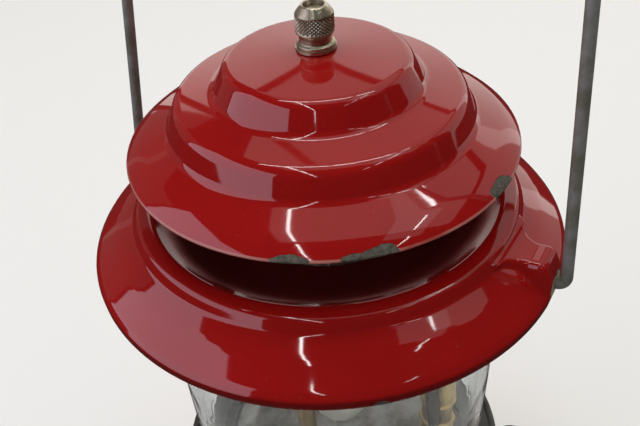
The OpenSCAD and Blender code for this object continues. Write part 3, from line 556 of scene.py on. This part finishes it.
for material, names in FINISHES.items():
    for name in names:
        dress(nodes[name], material)
print("dressed", sum(len(names) for names in FINISHES.values()), "solids")

# %% [markdown]
# ## Turned shapes
# The ventilator, the globe, the mantle and the nut are all shapes of revolution. They could
# be cylinders that are pushed and pulled into shape. Instead each starts as one point that is
# extruded along its profile, corner by corner, and is then spun round the axis, as it would
# be turned or spun over a former. A profile is written as a few corners with a radius each,
# as on a drawing, and the rounds are worked out from them.


# %% Rounded profiles
def round_corner(before, corner, after, step):
    """Points of the arc that rounds one corner (r, z, radius) between its neighbours."""
    here = Vector(corner[:2])
    to_before = (Vector(before[:2]) - here).normalized()
    to_after = (Vector(after[:2]) - here).normalized()
    half = math.acos(max(-1, min(1, to_before.dot(to_after)))) / 2
    radius = corner[2]
    middle = here + (to_before + to_after).normalized() * radius / math.sin(half)
    start = here + to_before * radius / math.tan(half) - middle
    end = here + to_after * radius / math.tan(half) - middle
    turn = start.angle_signed(end)
    count = max(2, math.ceil(abs(math.degrees(turn)) / step))
    first = math.atan2(start.y, start.x)
    angles = [first - turn * i / count for i in range(count + 1)]
    return [middle + radius * Vector((math.cos(a), math.sin(a))) for a in angles]


def profile(corners, step=6.0):
    """A drawing of corners (r, z, radius) turned into points."""
    points = []
    for i, corner in enumerate(corners):
        if corner[2] == 0:
            points.append(Vector(corner[:2]))
        else:
            points += round_corner(corners[i - 1], corner, corners[i + 1], step)
    return points


def beside(points, distance):
    """The profile moved sideways, to the right of its own direction."""
    moved = []
    last = len(points) - 1
    for i, point in enumerate(points):
        came = (points[max(i, 1)] - points[max(i, 1) - 1]).normalized()
        goes = (points[min(i, last - 1) + 1] - points[min(i, last - 1)]).normalized()
        aside = Vector((came.y + goes.y, -came.x - goes.x)) / (1 + came.dot(goes))
        moved.append(point + distance * aside)
    return moved


def rim_round(top, foot, steps=6):
    """Points of the half circle that rounds a sheet's edge, between its two faces."""
    middle = (top + foot) / 2
    reach = top - middle
    points = []
    for i in range(1, steps):
        angle = math.pi * i / steps
        out = reach.x * math.cos(angle) + reach.y * math.sin(angle)
        rise = reach.y * math.cos(angle) - reach.x * math.sin(angle)
        points.append(middle + Vector((out, rise)))
    return points


def sheet_outline(points, thickness, round_end=False):
    """A closed outline of sheet metal under a profile."""
    under = beside(points, thickness)
    edge = rim_round(points[-1], under[-1]) if round_end else []
    return points + edge + under[::-1] + points[:1]


def raised(points, height):
    """The same points, higher up."""
    return [Vector((p.x, p.y + height)) for p in points]


print("points of a square corner rounded to 2 mm:", len(profile([(0, 0, 0), (9, 0, 2), (9, 9, 0)])))

# %% Extrude a profile and spin it
FULL_TURN = [(360.0, 128)]


def start_profile(name, points):
    """A wire of edges in the XZ plane, extruded from one point. Points are in mm."""
    bpy.ops.object.select_all(action="DESELECT")
    bpy.ops.mesh.primitive_plane_add(size=MM)
    piece = bpy.context.active_object
    piece.name = name
    bpy.ops.object.mode_set(mode="EDIT")
    bpy.ops.mesh.merge(type="CENTER")
    at = [Vector((p.x, 0, p.y)) * MM for p in points]
    bpy.ops.transform.translate(value=at[0])
    for here, there in zip(at, at[1:]):
        bpy.ops.mesh.extrude_region_move(TRANSFORM_OT_translate={"value": there - here})
    return piece


def spin_profile(name, points, sectors=FULL_TURN):
    """Spin a profile round the lantern's axis, in sectors of (degrees, steps)."""
    piece = start_profile(name, points)
    bpy.ops.mesh.select_all(action="SELECT")
    for angle, steps in sectors:
        bpy.ops.mesh.spin(steps=steps, angle=math.radians(angle), center=(0, 0, 0), axis=(0, 0, 1))
    bpy.ops.mesh.select_all(action="SELECT")
    bpy.ops.mesh.remove_doubles(threshold=0.002 * MM)
    bpy.ops.mesh.normals_make_consistent(inside=False)
    bpy.ops.object.mode_set(mode="OBJECT")
    return piece


def select_only(piece):
    """Leave one piece selected and active, as an operator expects."""
    bpy.ops.object.select_all(action="DESELECT")
    piece.select_set(True)
    bpy.context.view_layer.objects.active = piece


def finish_piece(piece, body, material, stands_for, angle):
    """Shade, dress and hang a finished piece on its body. Edges above the angle stay sharp."""
    select_only(piece)
    bpy.ops.object.shade_smooth_by_angle(angle=math.radians(angle))
    dress(piece, material)
    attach(piece, body)
    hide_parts(*stands_for)
    print(piece.name, "faces:", len(piece.data.polygons))


print("a full turn is spun in", FULL_TURN[0][1], "steps")

# %% [markdown]
# ## The ventilator cap
# The cap is one pressing: a domed crown, a step, a rounded ledge and a skirt that curves
# outwards to its rim. The profile is the upper surface, and the sheet's thickness goes below
# it. The thickness could come from a modifier, but drawn into the profile it lets the cut
# edge of the rim have its own small round.

# %% Press the cap
STUD_HOLE_R = 2.8
cap_corners = [
    (STUD_HOLE_R, CROWN_RISE, 0),
    (cap_r - 33.8, 27.2, 4.2),
    (cap_r - 29.2, 19.1, 4.0),
    (cap_r - 17.3, 16.6, 4.5),
    (cap_r - 14.1, 8.3, 4.0),
    (cap_r - 4.4, 3.6, 24.0),
    (cap_r - SHEET / 2, 0.35, 0),
]
cap_profile = raised(profile(cap_corners, 4.0), cap_z)
cap_piece = spin_profile("cap_pressing", sheet_outline(cap_profile, SHEET, round_end=True))
finish_piece(cap_piece, "lantern", cap_enamel, ["ventilator_cap"], 50.0)

# %% [markdown]
# ## The brim
# The brim is pressed with a rolled outer edge, a valley and a raised ring round its open
# throat. Two pockets for the bail rise out of the valley, each with a nearly flat top, a
# rounded shoulder and steep sides. They could be pieces of their own that are joined on, but
# they are pressed from the same sheet. So the mesh is spun first, finely near the pockets,
# and then the points there are moved from the brim's section to the pocket's. The outer end
# of each pocket stands upright, and the bail goes through a hole in it.

# %% The brim's section and the pocket's
THROAT_R = 30.0
RING_R = 61.8
brim_corners = [
    (THROAT_R, 4.4, 0),
    (THROAT_R + 0.6, 7.4, 2.0),
    (46.0, 9.0, 10.0),
    (RING_R - 4.6, 16.0, 2.6),
    (RING_R, 15.4, 2.2),
    (RING_R + 1.8, 11.6, 2.0),
    (brim_r - 8.5, 8.0, 20.0),
    (brim_r - 1.6, 2.4, 5.0),
    (brim_r, 0.2, 1.2),
    (brim_r - 0.2, -2.2, 1.2),
    (brim_r - 0.8, -LIP_DROP, 0),
]
SADDLE = 11.9
SADDLE_R = brim_r - 7.5
SADDLE_BEND = 0.03
POCKET_HALF = 5.6
POCKET_ROUND = 2.0
POCKET_FLARE = 7.0
POCKET_ROOT = RING_R + 1.8
POCKET_FACE = brim_r - 0.3
SECTION_POINTS = 40
brim_profile = profile(brim_corners, 5.0)
ring_index = next(i for i, p in enumerate(brim_profile) if p.x > RING_R - 1.2)
shoulder_index = next(i for i, p in enumerate(brim_profile) if p.x > SADDLE_R)


def spread(points, count):
    """The same line with a given number of evenly spaced points."""
    lengths = [0.0]
    for here, there in zip(points, points[1:]):
        lengths.append(lengths[-1] + (there - here).length)
    even = []
    part = 0
    for i in range(count):
        want = lengths[-1] * i / (count - 1)
        while part < len(points) - 2 and lengths[part + 1] < want:
            part += 1
        share = (want - lengths[part]) / (lengths[part + 1] - lengths[part])
        even.append(points[part].lerp(points[part + 1], min(1.0, share)))
    return even


def on_crest(point):
    """A brim point lifted to the pocket's top, which sags a little between ring and rim."""
    crest = SADDLE + SADDLE_BEND * (point.x - SADDLE_R) ** 2
    return Vector((point.x, max(point.y, crest)))


inner_part = spread(brim_profile[ring_index : shoulder_index + 1], SECTION_POINTS)
outer_part = spread(brim_profile[shoulder_index:], SECTION_POINTS)
pocket_corners = [
    (*on_crest(outer_part[0]), 0),
    (brim_r - 3.0, SADDLE + 0.5, 3.0),
    (POCKET_FACE, 6.5, 3.0),
    (POCKET_FACE, -1.6, 1.0),
    (brim_r - 0.8, -LIP_DROP, 0),
]
pocket_profile = brim_profile[:ring_index] + [on_crest(p) for p in inner_part]
pocket_profile += spread(profile(pocket_corners, 5.0), SECTION_POINTS)[1:]
brim_profile = brim_profile[:ring_index] + inner_part + outer_part[1:]
print("points across the brim:", len(brim_profile), "and the pocket:", len(pocket_profile))

# %% Spin the brim
FINE_SECTOR = 28.0
FINE_STEPS = 96
COARSE_STEPS = 76
half_fine = (FINE_SECTOR / 2, FINE_STEPS // 2)
coarse = (180 - FINE_SECTOR, COARSE_STEPS)
sectors = [half_fine, coarse, (FINE_SECTOR, FINE_STEPS), coarse, half_fine]
brim_piece = spin_profile("brim_pressing", raised(brim_profile, brim_z), sectors)
print("brim points:", len(brim_piece.data.vertices))

# %% Draw up the pockets
POCKET_STEEP = 4.0
POCKET_BLEND = 0.4
POCKET_SPARE = 4
POCKET_FADE = 3
POCKET_START = RING_R - 6
POCKET_LEAST = 0.01


def ease(value):
    """0 to 1 with a smooth start and a smooth end."""
    value = max(0.0, min(1.0, value))
    return value * value * (3 - 2 * value)


def flare(reach):
    """How much wider the pocket is near its root, along a quarter circle."""
    out = max(0.0, min(1.0, 1 - (reach - POCKET_ROOT) / POCKET_FLARE))
    return POCKET_FLARE * (1 - math.sqrt(1 - out * out))


def pocket_drop(aside):
    """How far the pocket has fallen at a distance past its flat top: a round, then a side."""
    over = max(0.0, min(aside, POCKET_ROUND))
    drop = POCKET_ROUND - math.sqrt(POCKET_ROUND**2 - over**2)
    return drop + max(0.0, aside - POCKET_ROUND) * POCKET_STEEP


def draw_pockets(piece):
    """Move each point near a pocket from the brim's section towards the pocket's."""
    widest = POCKET_HALF + POCKET_FLARE + POCKET_SPARE
    moved = 0
    for vertex in piece.data.vertices:
        x, y, z = (c / MM for c in vertex.co)
        if abs(y) > widest or abs(x) < POCKET_START:
            continue
        here = Vector((math.hypot(x, y), z - brim_z))
        i = min(range(len(brim_profile)), key=lambda k: (brim_profile[k] - here).length)
        rise = (pocket_profile[i] - brim_profile[i]).length
        if rise < POCKET_LEAST:
            continue
        aside = abs(y) - (POCKET_HALF - POCKET_ROUND) - flare(brim_profile[i].x)
        above = rise - pocket_drop(aside)
        left = (above + math.sqrt(above**2 + POCKET_BLEND)) / 2
        weight = min(1.0, left / rise) * ease((widest - abs(y)) / POCKET_FADE)
        vertex.co.x += weight * (math.copysign(pocket_profile[i].x, x) - x) * MM
        vertex.co.z += weight * (pocket_profile[i].y + brim_z - z) * MM
        moved += 1
    print("points drawn towards the pockets:", moved)


def thicken(piece, thickness):
    """Give an open mesh the thickness of its sheet, on the inner side."""
    select_only(piece)
    sheet = piece.modifiers.new("sheet", "SOLIDIFY")
    sheet.thickness = thickness * MM
    sheet.offset = -1.0
    sheet.use_even_offset = True
    bpy.ops.object.modifier_apply(modifier=sheet.name)


draw_pockets(brim_piece)
thicken(brim_piece, SHEET)

# %% Pierce the pockets for the bail
BAIL_HOLE_R = 1.91
DRILL_LENGTH = 8
DRILL_FACES = 48


def pierce(piece, radius, centre, turn):
    """Cut a round hole through a piece with a cylinder."""
    bpy.ops.object.select_all(action="DESELECT")
    bpy.ops.mesh.primitive_cylinder_add(
        vertices=DRILL_FACES, radius=radius * MM, depth=DRILL_LENGTH * MM,
        location=centre, rotation=turn,
    )
    drill = bpy.context.active_object
    select_only(piece)
    cut = piece.modifiers.new("hole", "BOOLEAN")
    cut.operation = "DIFFERENCE"
    cut.solver = "EXACT"
    cut.object = drill
    bpy.ops.object.modifier_apply(modifier=cut.name)
    bpy.data.objects.remove(drill)


for side in (-1, 1):
    hole_at = (side * POCKET_FACE * MM, 0, pivot_z * MM)
    pierce(brim_piece, BAIL_HOLE_R, hole_at, (0, math.pi / 2, 0))
finish_piece(brim_piece, "lantern", brim_enamel, ["ventilator_brim"], 50.0)

# %% [markdown]
# ## The globe
# The globe is a slightly barrelled tube of pressed glass, 2.4 mm thick, open at both ends.
# A single surface would do for a window seen from far off. Light bends twice in a real wall,
# so both faces are drawn, and the profile closes round the two ends.

# %% Blow the globe
GLASS = 2.4
globe_r = globe_high.y / MM
globe_bottom = globe_low.z / MM
globe_top = globe_high.z / MM
globe_middle = (globe_bottom + globe_top) / 2
globe_corners = [
    (globe_r - 9.4, globe_top, 0),
    (globe_r - 1.4, globe_top - 12, 15),
    (globe_r + 0.2, globe_middle, 220),
    (globe_r - 1.4, globe_bottom + 12, 15),
    (globe_r - 9.4, globe_bottom, 0),
]
globe_piece = spin_profile("globe_glass", sheet_outline(profile(globe_corners, 3.0), GLASS))
finish_piece(globe_piece, "lantern", globe_glass, ["globe"], 40.0)

# %% [markdown]
# ## The mantle
# The mantle hangs from the burner cap. It was tied on as a flat sock, so it is gathered in
# pleats at the neck, which fade out where the heat has blown the net round. Burnt, it is a
# stiff shell of ash that no longer hangs as cloth, so it needs no simulation: a spun shape
# is pulled in along its pleats.

# %% Blow the mantle
NET_INSET = 0.5
TIE_INSET = 0.3
NECK_INSET = 8.5
PLEATS = 14
PLEAT_STEPS = 12
MANTLE_POINTS = 90
mantle_low, mantle_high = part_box("mantle")
mantle_r = mantle_high.y / MM - NET_INSET
mantle_bottom = mantle_low.z / MM + NET_INSET
mantle_top = mantle_high.z / MM - TIE_INSET
neck_r = mantle_r - NECK_INSET
mantle_corners = [
    (neck_r, mantle_top, 0),
    (neck_r + 0.3, mantle_top - 6, 5),
    (mantle_r, mantle_top - 22, 16),
    (mantle_r, mantle_bottom + 20, 14),
    (neck_r, mantle_bottom + 1.5, 10),
    (0.4, mantle_bottom, 0),
]
mantle_line = spread(profile(mantle_corners, 6.0), MANTLE_POINTS)
mantle_piece = spin_profile("mantle_net", mantle_line, [(360.0, PLEATS * PLEAT_STEPS)])
print("points of the mantle:", len(mantle_piece.data.vertices))

# %% Gather the mantle and map its net
NECK_PLEAT = 0.10
FOOT_PLEAT = 0.03
BELLY_PLEAT = 0.008
SLACK = 0.02
NET_PITCH = 1.1


def pleat_depth(level):
    """Deep at the neck, less so at the foot, and faint at the belly. Level is 0 at the foot."""
    neck = NECK_PLEAT * ease((level - 0.45) / 0.5)
    foot = FOOT_PLEAT * ease((0.35 - level) / 0.3)
    return neck + foot + BELLY_PLEAT


def gather(piece):
    """Pull the net in along its pleats, which are unevenly spaced, as threads gather."""
    tall = mantle_top - mantle_bottom
    for vertex in piece.data.vertices:
        turn = math.atan2(vertex.co.y, vertex.co.x)
        level = (vertex.co.z / MM - mantle_bottom) / tall
        pleat = (1 + math.sin(PLEATS * turn + 2 * math.sin(2 * turn))) / 2
        slack = SLACK * math.sin(3 * turn + 9 * level)
        pull = 1 - pleat_depth(level) * pleat - abs(slack)
        vertex.co.x *= pull
        vertex.co.y *= pull


def net_map(piece, pitch):
    """Threads run round the mantle and up it, so the map counts threads each way."""
    layer = piece.data.uv_layers.new(name="net")
    around = round(2 * math.pi * mantle_r / pitch)
    for face in piece.data.polygons:
        middle = math.atan2(face.center.y, face.center.x)
        for index in face.loop_indices:
            point = piece.data.vertices[piece.data.loops[index].vertex_index].co
            turn = math.atan2(point.y, point.x)
            turn += 2 * math.pi * round((middle - turn) / (2 * math.pi))
            layer.data[index].uv = (turn / (2 * math.pi) * around, point.z / MM / pitch)


net_map(mantle_piece, NET_PITCH)
gather(mantle_piece)
finish_piece(mantle_piece, "lantern", mantle_cloth, ["mantle"], 60.0)

# %% [markdown]
# ## The knurled ball nut
# The nut is turned with a foot, a waist and a ball whose mouth is open to the stud. A
# knurling wheel has crossed the ball with two families of slanting grooves. They could be a
# bump in the finish, but they break up the outline of the ball, so they are in the mesh. It
# is spun finely there, and each point is pushed in the more, the nearer it is to a groove,
# which leaves rows of small pyramids.

# %% Turn and knurl the nut
nut_z = nut_low.z / MM
nut_h = nut_high.z / MM - nut_z
belly_r = nut_high.y / MM
KNURLS = 30
KNURL_ROWS = 5
KNURL_STEPS = 8
KNURL_DEPTH = 0.42
KNURL_FADE = 8
BALL_SKIN = 1.5
STUD_R = 2.5
bore_r = STUD_R + 0.08
knurl_low = 0.37 * nut_h
knurl_high = 0.80 * nut_h
nut_corners = [
    (bore_r, 0.0, 0),
    (belly_r - 0.1, 0.0, 0.3),
    (belly_r - 0.1, 0.9, 0.3),
    (belly_r - 0.9, 1.5, 0.6),
    (belly_r - 1.0, 0.25 * nut_h, 0.8),
    (belly_r, knurl_low, 1.0),
    (belly_r, 0.78 * nut_h, 2.2),
    (belly_r - 1.9, nut_h - 0.2, 0.8),
    (belly_r - 2.3, nut_h, 0.15),
    (belly_r - 2.7, nut_h - 0.1, 0.1),
    (STUD_R + 0.3, nut_h - 1.9, 0.3),
    (bore_r, nut_h - 2.4, 0),
    (bore_r, 0.0, 0),
]


def groove(count):
    """1 at every whole number, falling to 0 half-way between two of them."""
    return 2 * abs(count - math.floor(count) - 0.5)


def knurl(piece):
    """Cut two families of slanting grooves into the ball, which leave small pyramids."""
    for vertex in piece.data.vertices:
        z = vertex.co.z / MM - nut_z
        reach = math.hypot(vertex.co.x, vertex.co.y) / MM
        level = (z - knurl_low) / (knurl_high - knurl_low)
        if not 0 <= level <= 1 or reach < belly_r - BALL_SKIN:
            continue
        around = KNURLS * math.atan2(vertex.co.y, vertex.co.x) / (2 * math.pi)
        climb = KNURL_ROWS * level
        cut = max(groove(around + climb), groove(around - climb))
        fade = ease(level * KNURL_FADE) * ease((1 - level) * KNURL_FADE)
        shrink = 1 - KNURL_DEPTH * cut * fade / reach
        vertex.co.x *= shrink
        vertex.co.y *= shrink


nut_line = profile(nut_corners, 8.0)
first = next(i for i, p in enumerate(nut_line) if p.y > knurl_low and p.x > belly_r - 0.6)
last = next(i for i, p in enumerate(nut_line) if p.y > knurl_high)
band = spread(nut_line[first : last + 1], KNURL_ROWS * KNURL_STEPS + 1)
nut_line = nut_line[:first] + band + nut_line[last + 1 :]
nut_piece = spin_profile("knurled_nut", raised(nut_line, nut_z), [(360.0, KNURLS * KNURL_STEPS)])
knurl(nut_piece)
finish_piece(nut_piece, "top_nut", aged_nickel, ["ball_nut"], 20.0)

# %% [markdown]
# ## The studio
# The lantern stands on a plain pale floor against a pale background. Polished enamel shows
# whatever is round it, so the room matters as much as the lamps: the lit walls give the
# pale half of each reflection, and the unlit room the dark half. The floor lights the
# lantern from below but is left out of the reflections, so the rolled edges stay deep red.

# %% The floor
FLOOR_SIZE = 3.4
bpy.ops.object.select_all(action="DESELECT")
bpy.ops.mesh.primitive_plane_add(size=FLOOR_SIZE)
floor = bpy.context.active_object
floor.name = "floor"
floor.visible_glossy = False
floor_paint = Finish("studio floor", Roughness=1.0, Specular_IOR_Level=0.0)
floor_paint.set(Base_Color=(0.78, 0.78, 0.755))
dress(floor, floor_paint.material)
print("floor:", FLOOR_SIZE, "m across")

# %% Room light
world = bpy.data.worlds.new("room")
bpy.context.scene.world = world
world.use_nodes = True
room = world.node_tree
room.nodes.clear()


def light_path(name):
    """1 for light that arrives in the named way, and 0 for the rest."""
    source = room.nodes.new("ShaderNodeLightPath")
    return source.outputs[name]


def background(colour, strength):
    """One plain surrounding."""
    made = room.nodes.new("ShaderNodeBackground")
    made.inputs["Color"].default_value = (*colour, 1)
    made.inputs["Strength"].default_value = strength
    return made.outputs[0]


def mix_rooms(factor, first, second):
    """The first surrounding where the factor is 0, and the second where it is 1."""
    made = room.nodes.new("ShaderNodeMixShader")
    room.links.new(factor, made.inputs[0])
    room.links.new(first, made.inputs[1])
    room.links.new(second, made.inputs[2])
    return made.outputs[0]


soft_room = background((1.0, 0.99, 0.97), 0.16)
dark_room = background((0.03, 0.029, 0.028), 1.0)
pale_wall = background((0.84, 0.83, 0.80), 1.0)
seen = mix_rooms(light_path("Is Glossy Ray"), soft_room, dark_room)
seen = mix_rooms(light_path("Is Transmission Ray"), seen, pale_wall)
seen = mix_rooms(light_path("Is Camera Ray"), seen, pale_wall)
surface = room.nodes.new("ShaderNodeOutputWorld")
room.links.new(seen, surface.inputs["Surface"])
print("nodes in the room's light:", len(room.nodes))

# %% [markdown]
# ## Lamps
# Each lamp is a flat panel with an even glow, so its power follows from its size. The walls
# behind and beside the lantern and the far half of the ceiling are pale panels. The half
# towards the camera is left dark but for two rows of tubes, a pale fitting over the right row
# and a tall bluish window on the left. One long tube crosses the ceiling above the lantern.
# The enamel shows all of this as pale and dark bands with crisp edges. One more light
# overhead is left out of the reflections; it only lights the surfaces, so they shade from
# the top down.

# %% Places and panels
# Directions are given from the camera: `away` points away from it, `right` to its right.
away = -Vector((back.x, back.y, 0)).normalized()
down = Vector((0, 0, -1))
ROOM_TOP = 2.2
WALL_TALL = 2.2
WALL_MIDDLE = 0.8
HUNG = ROOM_TOP - 0.05
WARM = (1.0, 0.95, 0.90)
BLUISH = (0.86, 0.84, 1.0)
TUBE = 0.04
# A panel with this many watts to the square metre is as bright as a surface of strength 1.
WATTS = 4


def from_camera(ahead, aside, height):
    """A place given by its distance ahead of the lantern, to the right, and its height."""
    return brim_centre + away * ahead + right * aside + Vector((0, 0, height))


def lamp(name, place, facing, size, glow, colour=(1, 1, 1)):
    """A rectangular lamp that faces a direction. Its glow is its brightness as it is seen."""
    bpy.ops.object.light_add(type="AREA")
    made = bpy.context.active_object
    made.name = name
    made.data.shape = "RECTANGLE"
    made.data.size, made.data.size_y = size
    made.data.energy = glow * WATTS * size[0] * size[1]
    made.data.color = colour
    made.visible_camera = False
    made.visible_transmission = False
    upright = away if facing == down else -down
    turned = Matrix((upright.cross(-facing), upright, -facing)).transposed()
    made.matrix_world = Matrix.Translation(place) @ turned.to_4x4()
    return made


print("the ceiling is", ROOM_TOP, "m above the brim")

# %% Hang the lamps
BACK = 2.3
lamp("back wall", from_camera(BACK, 0.8, WALL_MIDDLE), -away, (3.8, WALL_TALL), 0.80, WARM)
lamp("back left wall", from_camera(BACK, -1.7, WALL_MIDDLE), -away, (1.2, WALL_TALL), 0.10, WARM)
lamp("left wall", from_camera(1.7, -2.3, WALL_MIDDLE), right, (1.6, WALL_TALL), 0.10, WARM)
lamp("right wall", from_camera(1.45, 2.3, WALL_MIDDLE), -right, (2.1, WALL_TALL), 0.42, WARM)
lamp("ceiling", from_camera(0.95, 0.85, ROOM_TOP), down, (3.1, 3.1), 0.42, WARM)
lamp("window", from_camera(-1.0, -2.0, 1.1), right, (3.4, WALL_TALL), 1.25, BLUISH)
for row in range(4):
    lamp(f"left tube {row}", from_camera(-0.1 - 1.05 * row, -0.46, HUNG), down, (TUBE, 0.9), 14)
for row in range(3):
    lamp(f"right tube {row}", from_camera(-0.3 - 0.85 * row, 1.3, HUNG), down, (TUBE, 0.6), 12)
lamp("right fitting", from_camera(-0.35, 1.2, ROOM_TOP - 0.02), down, (0.8, 1.1), 0.35)
lamp("cross tube", from_camera(0.35, 0.25, HUNG), down, (2.2, 0.10), 12)
top_light = lamp("top light", from_camera(0, 0, ROOM_TOP + 0.2), down, (1.6, 1.6), 2.0)
top_light.visible_glossy = False
bpy.context.scene.view_settings.view_transform = "Standard"

# %% [markdown]
